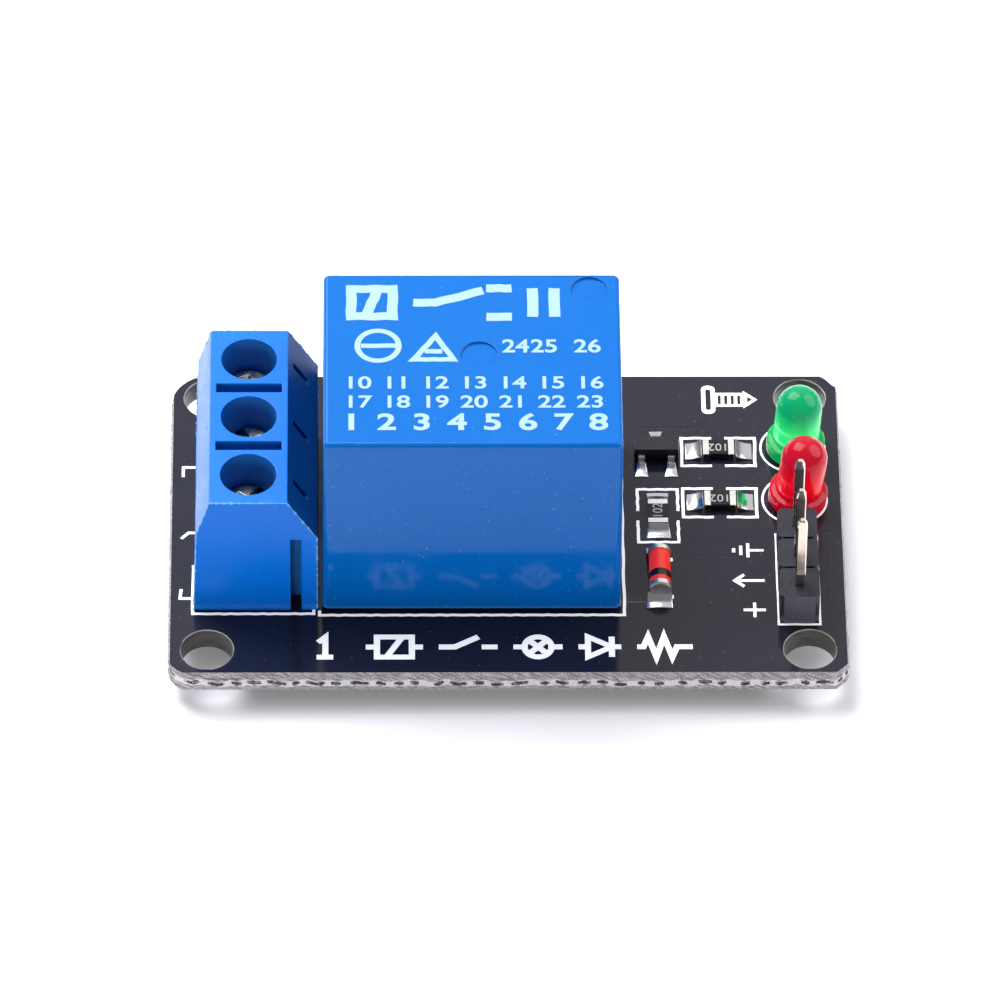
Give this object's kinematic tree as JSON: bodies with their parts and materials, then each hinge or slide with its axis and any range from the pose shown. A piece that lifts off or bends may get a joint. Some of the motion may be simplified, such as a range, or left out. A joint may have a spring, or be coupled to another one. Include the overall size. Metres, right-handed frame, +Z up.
{
  "type": "relay module board",
  "caption": "Small circuit board that switches a mains or battery circuit: sealed relay, screw terminal for the switched wires, pin header for control, status lights.",
  "frame": {"origin": "under the middle of the board's outline, on the plane of the cut lead tips that the module stands on", "axes": "+X along the board from the screw terminal to the pin header, +Y across the board towards its back edge, +Z up from the board's component side"},
  "size_m": [0.043, 0.026, 0.0181],
  "materials": {
    "board_mask": "glossy black solder mask over glass epoxy laminate",
    "solder": "bright reflowed solder",
    "terminal_plastic": "blue moulded polyamide",
    "clamp_metal": "tin plated strip",
    "screw_metal": "zinc plated steel",
    "relay_plastic": "blue moulded cover, satin top",
    "relay_base_plastic": "black moulded base",
    "sealing_epoxy": "poured epoxy",
    "bobbin_plastic": "off white moulded bobbin",
    "enamelled_wire": "enamelled copper winding",
    "soft_iron": "plated soft iron",
    "spring_bronze": "phosphor bronze leaf",
    "contact_silver": "silver alloy rivet",
    "tinned_copper": "tinned copper",
    "led_red_epoxy": "diffused red epoxy",
    "led_green_epoxy": "diffused green epoxy",
    "header_plastic": "black moulded strip",
    "gold_plate": "thin gold plate over brass",
    "chip_ceramic": "alumina with a black glass coat",
    "tin_plate": "matt tin",
    "diode_tube": "drawn soda glass",
    "silicon": "silicon die",
    "transistor_plastic": "black transfer moulded epoxy"
  },
  "bodies": {
    "module": {"circuit_board": "board_mask", "solder_terminal": "solder", "solder_relay": "solder", "solder_leds": "solder", "solder_header": "solder", "solder_surface": "solder", "terminal_housing": "terminal_plastic", "relay_cover": "relay_plastic", "relay_base": "relay_base_plastic", "relay_sealing_epoxy": "sealing_epoxy", "relay_bobbin": "bobbin_plastic", "relay_coil": "enamelled_wire", "relay_core": "soft_iron", "relay_yoke": "soft_iron", "relay_closed_blade": "tinned_copper", "relay_closed_contact": "contact_silver", "relay_open_blade": "tinned_copper", "relay_open_contact": "contact_silver", "relay_common_pin": "tinned_copper", "relay_coil_pin_front": "tinned_copper", "relay_coil_pin_back": "tinned_copper", "led_red_anode": "tinned_copper", "led_red_cathode": "tinned_copper", "led_red_lens": "led_red_epoxy", "led_green_anode": "tinned_copper", "led_green_cathode": "tinned_copper", "led_green_lens": "led_green_epoxy", "header_housing": "header_plastic", "diode_glass": "diode_tube", "diode_anode": "tin_plate", "diode_cathode": "tin_plate", "diode_die": "silicon", "transistor_body": "transistor_plastic", "transistor_base_lead": "tin_plate", "transistor_emitter_lead": "tin_plate", "transistor_collector_lead": "tin_plate", "terminal_clamp_1": "clamp_metal", "header_pin_1": "gold_plate", "terminal_clamp_2": "clamp_metal", "header_pin_2": "gold_plate", "terminal_clamp_3": "clamp_metal", "header_pin_3": "gold_plate", "resistor_front_body": "chip_ceramic", "resistor_front_end_caps": "tin_plate", "resistor_back_body": "chip_ceramic", "resistor_back_end_caps": "tin_plate", "resistor_side_body": "chip_ceramic", "resistor_side_end_caps": "tin_plate"},
    "armature": {"relay_armature": "soft_iron", "relay_moving_spring": "spring_bronze", "relay_moving_contact": "contact_silver"},
    "guard_1": {"wire_guard_1": "clamp_metal"},
    "screw_1": {"terminal_screw_1": "screw_metal"},
    "guard_2": {"wire_guard_2": "clamp_metal"},
    "screw_2": {"terminal_screw_2": "screw_metal"},
    "guard_3": {"wire_guard_3": "clamp_metal"},
    "screw_3": {"terminal_screw_3": "screw_metal"}
  },
  "joints": [
    {"name": "armature_swing", "type": "hinge", "parent": "module", "child": "armature", "pos_m": [-0.01017, -0.00008, 0.01345], "axis": [0, 1, 0], "range_deg": [0, 2.95], "stiffness_Nm_per_rad": 0.01, "springref_deg": -3.44},
    {"name": "guard_lift_1", "type": "slide", "parent": "module", "child": "guard_1", "axis": [0, 0, 1], "range_m": [-0.00035, 0.00215]},
    {"name": "screw_turn_1", "type": "hinge", "parent": "guard_1", "child": "screw_1", "pos_m": [-0.01636, -0.00504, 0.008], "axis": [0, 0, 1], "range_deg": [-281, 1721]},
    {"name": "guard_lift_2", "type": "slide", "parent": "module", "child": "guard_2", "axis": [0, 0, 1], "range_m": [-0.00035, 0.00215]},
    {"name": "screw_turn_2", "type": "hinge", "parent": "guard_2", "child": "screw_2", "pos_m": [-0.01636, -0.00004, 0.008], "axis": [0, 0, 1], "range_deg": [-281, 1721]},
    {"name": "guard_lift_3", "type": "slide", "parent": "module", "child": "guard_3", "axis": [0, 0, 1], "range_m": [-0.00035, 0.00215]},
    {"name": "screw_turn_3", "type": "hinge", "parent": "guard_3", "child": "screw_3", "pos_m": [-0.01636, 0.00496, 0.008], "axis": [0, 0, 1], "range_deg": [-281, 1721]}
  ],
  "couplings": [
    {"joint": "screw_turn_1", "follows": "guard_lift_1", "rad_per_m": 13963},
    {"joint": "screw_turn_2", "follows": "guard_lift_2", "rad_per_m": 13963},
    {"joint": "screw_turn_3", "follows": "guard_lift_3", "rad_per_m": 13963}
  ]
}
